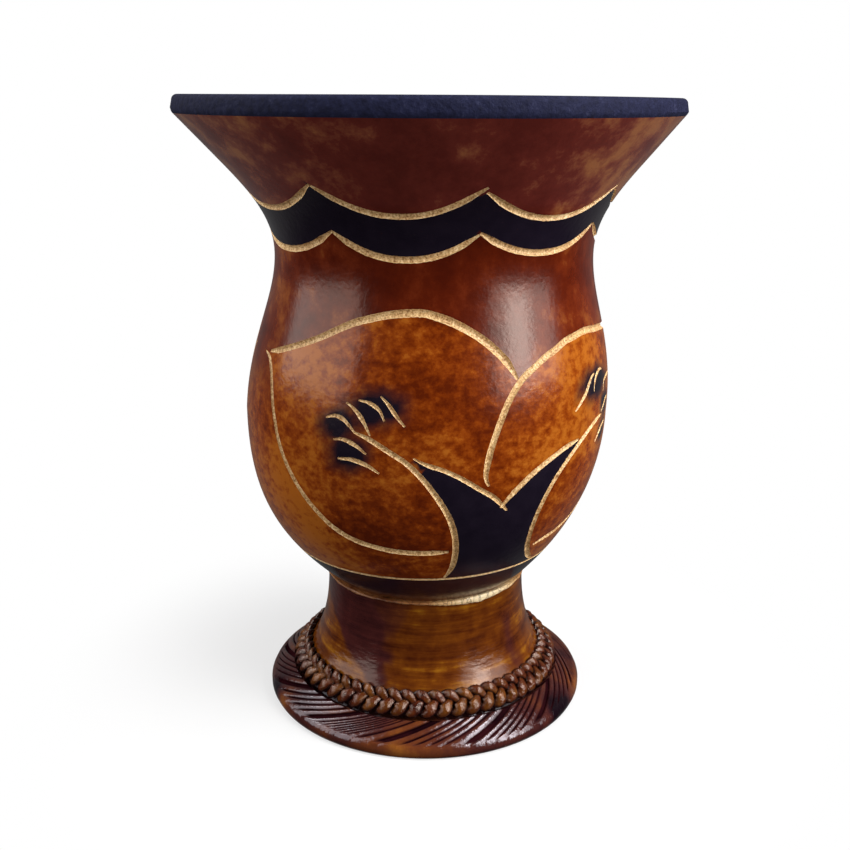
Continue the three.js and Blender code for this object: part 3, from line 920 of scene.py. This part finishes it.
def band_edge(line):
    """Depth of one edge of the band at each vertex's angle round the bowl."""
    return np.interp(angles, [angle for angle, _ in line], [depth for _, depth in line], period=360)


in_band = (depths > band_edge(band_upper)) & (depths < band_edge(band_lower))
# Each outline follows its gouged lines as far as the line that it meets.
calyx_foot = [(stalk_right[-1][0], ring_depth), (stalk_left[-1][0], ring_depth)]
calyx = calyx_left[:-1] + calyx_right + stalk_right[4:] + calyx_foot + stalk_left[:3:-1]
left_petal = (petal_left_top + petal_right_top[7::-1] + calyx_left[::-1] + stalk_left[3:9]
              + petal_left_under[::-1])
right_petal = petal_right_top + petal_right_under[::-1] + stalk_right[14:3:-1] + calyx_right[::-1]
# Below the ring line the shell is black, as paint and as painted shade under the bowl, lighter near
# the bead as a painted reflection.
below_ring = 1 - bead_reflection_share * np.clip((depths - bead_reflection_from) / bead_reflection_over, 0, 1)
black = np.where(depths > ring_depth, below_ring, in_band | inside(calyx))
in_petal = inside(left_petal) | inside(right_petal)
scorched = np.zeros(len(depths))
smoke = np.array([noise.noise(Vector(place) * smoke_scale) for place in places])
for angle, depth, half_angle, half_depth in scorch_marks:
    away = np.hypot((petal_angles - angle) / half_angle, (depths - depth) / half_depth)
    away += smoke_share * smoke
    scorched = np.maximum(scorched, 1 - np.clip((away - scorch_core) / scorch_fade, 0, 1))
low_amber = np.clip((depths - amber_from) / amber_over, 0, 1)
low_shift = np.clip((depths - low_shift_from) / low_shift_over, 0, 1)
low_shift *= np.where(in_petal, low_shift_in_petal, low_shift_between)
on_flare = np.clip((flare_end - depths) / flare_fade, 0, 1)
# More painted light on the right of the flare.
flare_lit_right = np.clip(1 - np.abs(angles - flare_lit_at) / flare_lit_half, 0, 1)
flare_lit_right *= flare_lit_share * on_flare
beside_flower = np.abs(petal_angles - flower_middle)
shell_lighter = np.clip((beside_flower - lighter_from) / lighter_over, 0, 1) + low_shift + flare_lit_right
store(gourd_bowl, "black", black)
store(gourd_bowl, "scorched", scorched)
store(gourd_bowl, "petal", np.maximum(in_petal, low_amber))
store(gourd_bowl, "shell_lighter", 0.5 + 0.5 * shell_lighter)
# Where the flare's painted light and sheen lie.
store(gourd_bowl, "flare", on_flare)

stain = new_finish("stained_shell", 0.21, 0.52, lacquer_tint)
blotches = mottle(stain, 420, (1, 1, 1.2), detail=6, roughness=0.66)
blotches = combine(stain, blotches, 0.62, "MULTIPLY")
clouds = combine(stain, mottle(stain, 60, detail=3), 0.38, "MULTIPLY")
blotches = combine(stain, blotches, clouds)
# The shell is shifted lighter or darker as stored, the flare's painted light included.
lighter_shift = lay_on(stain, stored(stain, "shell_lighter"), 0.2, -0.1)
blotches = combine(stain, blotches, lighter_shift)
sparse = mottle(stain, 110, detail=8, roughness=0.68)
sparse = lay_on(stain, lighter_shift, 1.15, sparse)
shell_dark = grade(stain, sparse, [
    (0.4, srgb(72, 17, 3)),
    (0.52, srgb(84, 23, 4)),
    (0.64, srgb(102, 35, 10)),
    (0.78, srgb(138, 72, 28)),
])
# The flare's colour is painted lighter and bluer than the neck's, as light bounced up from below and a
# bluish sheen.
flare_painted_light = grade(stain, sparse, [
    (0.42, srgb(88, 31, 25)),
    (0.58, srgb(102, 39, 31)),
    (0.65, srgb(122, 60, 42)),
    (0.75, srgb(148, 90, 54)),
])
shell_dark = blend(stain, stored(stain, "flare"), shell_dark, flare_painted_light)
shell_amber = grade(stain, blotches, [
    (0.38, srgb(86, 26, 2)),
    (0.48, srgb(113, 42, 3)),
    (0.55, srgb(137, 60, 8)),
    (0.65, srgb(168, 92, 23)),
])
shell = blend(stain, stored(stain, "petal"), shell_dark, shell_amber)
paint = blend(stain, mottle(stain, 300), srgb(14, 9, 21), srgb(31, 24, 36))
painted = combine(stain, stored(stain, "black"), stored(stain, "scorched"))
shell = blend(stain, painted, shell, paint)
coat_with(stain, shell, mottle(stain, 800, detail=3), 0.05 * mm)
flesh = new_finish("gouged_flesh", 0.45, 0.3)
tick_marks = combine(flesh, stored(flesh, "tick"), 0.16, "MULTIPLY")
grain = combine(flesh, mottle(flesh, 2600, detail=3), tick_marks, "SUBTRACT")
flesh_colour = grade(flesh, grain, [
    (0.22, srgb(138, 92, 50)),
    (0.36, srgb(190, 148, 96)),
    (0.48, srgb(218, 180, 126)),
    (0.62, srgb(240, 212, 164)),
])
coat_with(flesh, flesh_colour, mottle(flesh, 1500), 0.1 * mm)
blackened = new_finish("blackened_lip", 0.75, 0.12)
# The lip is black paint, with a bluish reflection painted into its colour.
lip_black_and_sheen = grade(blackened, mottle(blackened, 700, detail=5, roughness=0.7), [
    (0.35, srgb(21, 22, 43)),
    (0.6, srgb(30, 32, 58)),
    (0.78, srgb(54, 55, 78)),
])
coat_with(blackened, lip_black_and_sheen, mottle(blackened, 900), 0.3 * mm)
bare = new_finish("bare_inside", 0.8, 0.2)
bare_colour = grade(bare, mottle(bare, 120, (1, 1, 0.25), detail=6), [
    (0.3, srgb(150, 110, 66)),
    (0.7, srgb(184, 145, 96)),
])
coat_with(bare, bare_colour, mottle(bare, 300, (1, 1, 0.3)), 0.4 * mm)
finishes = [stain, flesh, blackened, bare]
mesh.materials.clear()
for finish in finishes:
    mesh.materials.append(finish)
# A face in a gouged line lies a little under the shell's surface, and the inside lies deeper.
skin = 0.03 * mm
deepest_gouge = 2 * mm
bare_from = bottom_height + hollow_bottom
for face in mesh.polygons:
    centre = face.center
    radius = math.hypot(centre.x - float(sway(centre.z)), centre.y)
    sunk = np.interp(centre.z, wall_height, wall_radius) - radius
    if centre.z > lip.z and sunk < wall_thickness:
        face.material_index = finishes.index(blackened)
    elif centre.z > seat_height and skin < sunk < deepest_gouge:
        face.material_index = finishes.index(flesh)
    elif sunk >= deepest_gouge and centre.z > bare_from:
        face.material_index = finishes.index(bare)
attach(gourd_bowl, "root")
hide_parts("gourd_bowl")

# Stage: a pale floor that keeps the shadow and runs out into a white surround. Soft lamps
# stand at the right and the left of the front and hang above, before dark studio walls that
# only the lacquer mirrors. Sizes and distances are in metres.
floor_radius = 0.3
floor_pale_from = 0.042
floor_white_from = 0.1
floor_shade = 0.36
floor_glow = 0.55
studio_radius = 1.2
studio_height = 3.0
surround_light = 0.25
lamp_aim = 75 * mm
floor_form = bmesh.new()
bmesh.ops.create_circle(floor_form, cap_ends=True, segments=96, radius=floor_radius)
floor = make_piece("floor", floor_form)
for way in ("glossy", "diffuse", "shadow"):
    setattr(floor, "visible_" + way, False)
pale = new_finish("pale_floor", 0.9, 0.0)
floor_place = add(pale, "TexCoord", {}).outputs["Object"]
floor_reach = add(pale, "VectorMath", {0: floor_place}, operation="LENGTH").outputs["Value"]
# Further out the floor takes less light and glows more, until it is as white as the surround.
runs_out = add(pale, "MapRange", {"Value": floor_reach, "From Min": floor_pale_from,
                                  "From Max": floor_white_from}, interpolation_type="SMOOTHSTEP")
runs_out = runs_out.outputs["Result"]
floor_tone = grade(pale, runs_out, [
    (0.0, (floor_shade, floor_shade, floor_shade, 1)),
    (1.0, (0, 0, 0, 1)),
])
coat_with(pale, floor_tone)
glow = add(pale, "MapRange", {"Value": runs_out, "To Min": floor_glow, "To Max": 1.0})
shader = pale.node_tree.nodes["Principled BSDF"]
shader.inputs["Emission Color"].default_value = (1, 1, 1, 1)
pale.node_tree.links.new(glow.outputs["Result"], shader.inputs["Emission Strength"])
floor.data.materials.append(pale)

wall_form = bmesh.new()
bmesh.ops.create_cone(wall_form, cap_ends=True, segments=48, radius1=studio_radius,
                      radius2=studio_radius, depth=studio_height)
walls = make_piece("studio_walls", wall_form)
for way in ("camera", "diffuse", "transmission", "shadow"):
    setattr(walls, "visible_" + way, False)
dim = new_finish("dim_wall", 0.9, 0.0)
wall_place = add(dim, "TexCoord", {}).outputs["Object"]
wall_back = add(dim, "SeparateXYZ", {0: wall_place}).outputs["Y"]
wall_tone = grade(dim, wall_back, [
    (0.3, (0.03, 0.03, 0.035, 1)),
    (0.8, (0.25, 0.25, 0.25, 1)),
])
coat_with(dim, wall_tone)
walls.data.materials.append(dim)

world = bpy.context.scene.world or bpy.data.worlds.new("surround")
bpy.context.scene.world = world
world.use_nodes = True
sky = world.node_tree.nodes["Background"]
sky.inputs["Color"].default_value = (1, 1, 1, 1)
rays = add(world, "LightPath", {})
seen = combine(world, rays.outputs["Is Camera Ray"], rays.outputs["Is Glossy Ray"], "MAXIMUM")
seen = combine(world, seen, rays.outputs["Is Transmission Ray"], "MAXIMUM")
level = add(world, "MapRange", {"Value": seen, "To Min": surround_light, "To Max": 1.0})
world.node_tree.links.new(level.outputs["Result"], sky.inputs["Strength"])
# Each lamp's angle from the front and lift in degrees, its distance, its width and height, and
# its power in watts.
lamps = [
    ("lamp_right", 62, 30, 0.56, (0.5, 0.62), 3.1),
    ("lamp_right_core", 57, 32, 0.52, (0.16, 0.52), 1.9),
    ("lamp_left", -78, 30, 0.6, (0.66, 0.62), 2.85),
    ("lamp_above", 80, 62, 0.7, (0.16, 0.16), 1.6),
    ("lamp_behind_left", -115, 41, 0.7, (0.2, 0.2), 0.9),
]
aim = Vector((0, 0, lamp_aim))
for name, angle, lift, distance, size, power in lamps:
    lamp = bpy.data.lights.new(name, "AREA")
    lamp.shape = "RECTANGLE"
    lamp.size = size[0]
    lamp.size_y = size[1]
    lamp.energy = power
    stand = bpy.data.objects.new(name, lamp)
    bpy.context.scene.collection.objects.link(stand)
    turn = math.radians(angle)
    tilt = math.radians(lift)
    level_way = Vector((math.sin(turn), -math.cos(turn), 0))
    way = level_way * math.cos(tilt) + up * math.sin(tilt)
    stand.location = aim + way * distance
    stand.rotation_euler = way.to_track_quat("Z", "Y").to_euler()

# Camera: level with the rim and looking down a little, so that the lip is seen edge on.
camera_distance = 246.7 * mm
camera_aside = -0.3 * mm
camera_dip = math.radians(17)
camera_roll = math.radians(0.3)
focal_length = 45.78
lens = bpy.data.cameras.new("camera")
lens.sensor_width = 36.0
lens.lens = focal_length
lens.clip_start = 0.01
camera = bpy.data.objects.new("camera", lens)
bpy.context.scene.collection.objects.link(camera)
camera.location = (camera_aside, -camera_distance, rim_height)
pitch = Matrix.Rotation(math.pi / 2 - camera_dip, 3, "X")
camera.rotation_euler = (pitch @ Matrix.Rotation(camera_roll, 3, "Z")).to_euler()
bpy.context.scene.camera = camera
bpy.context.scene.view_settings.view_transform = "Standard"
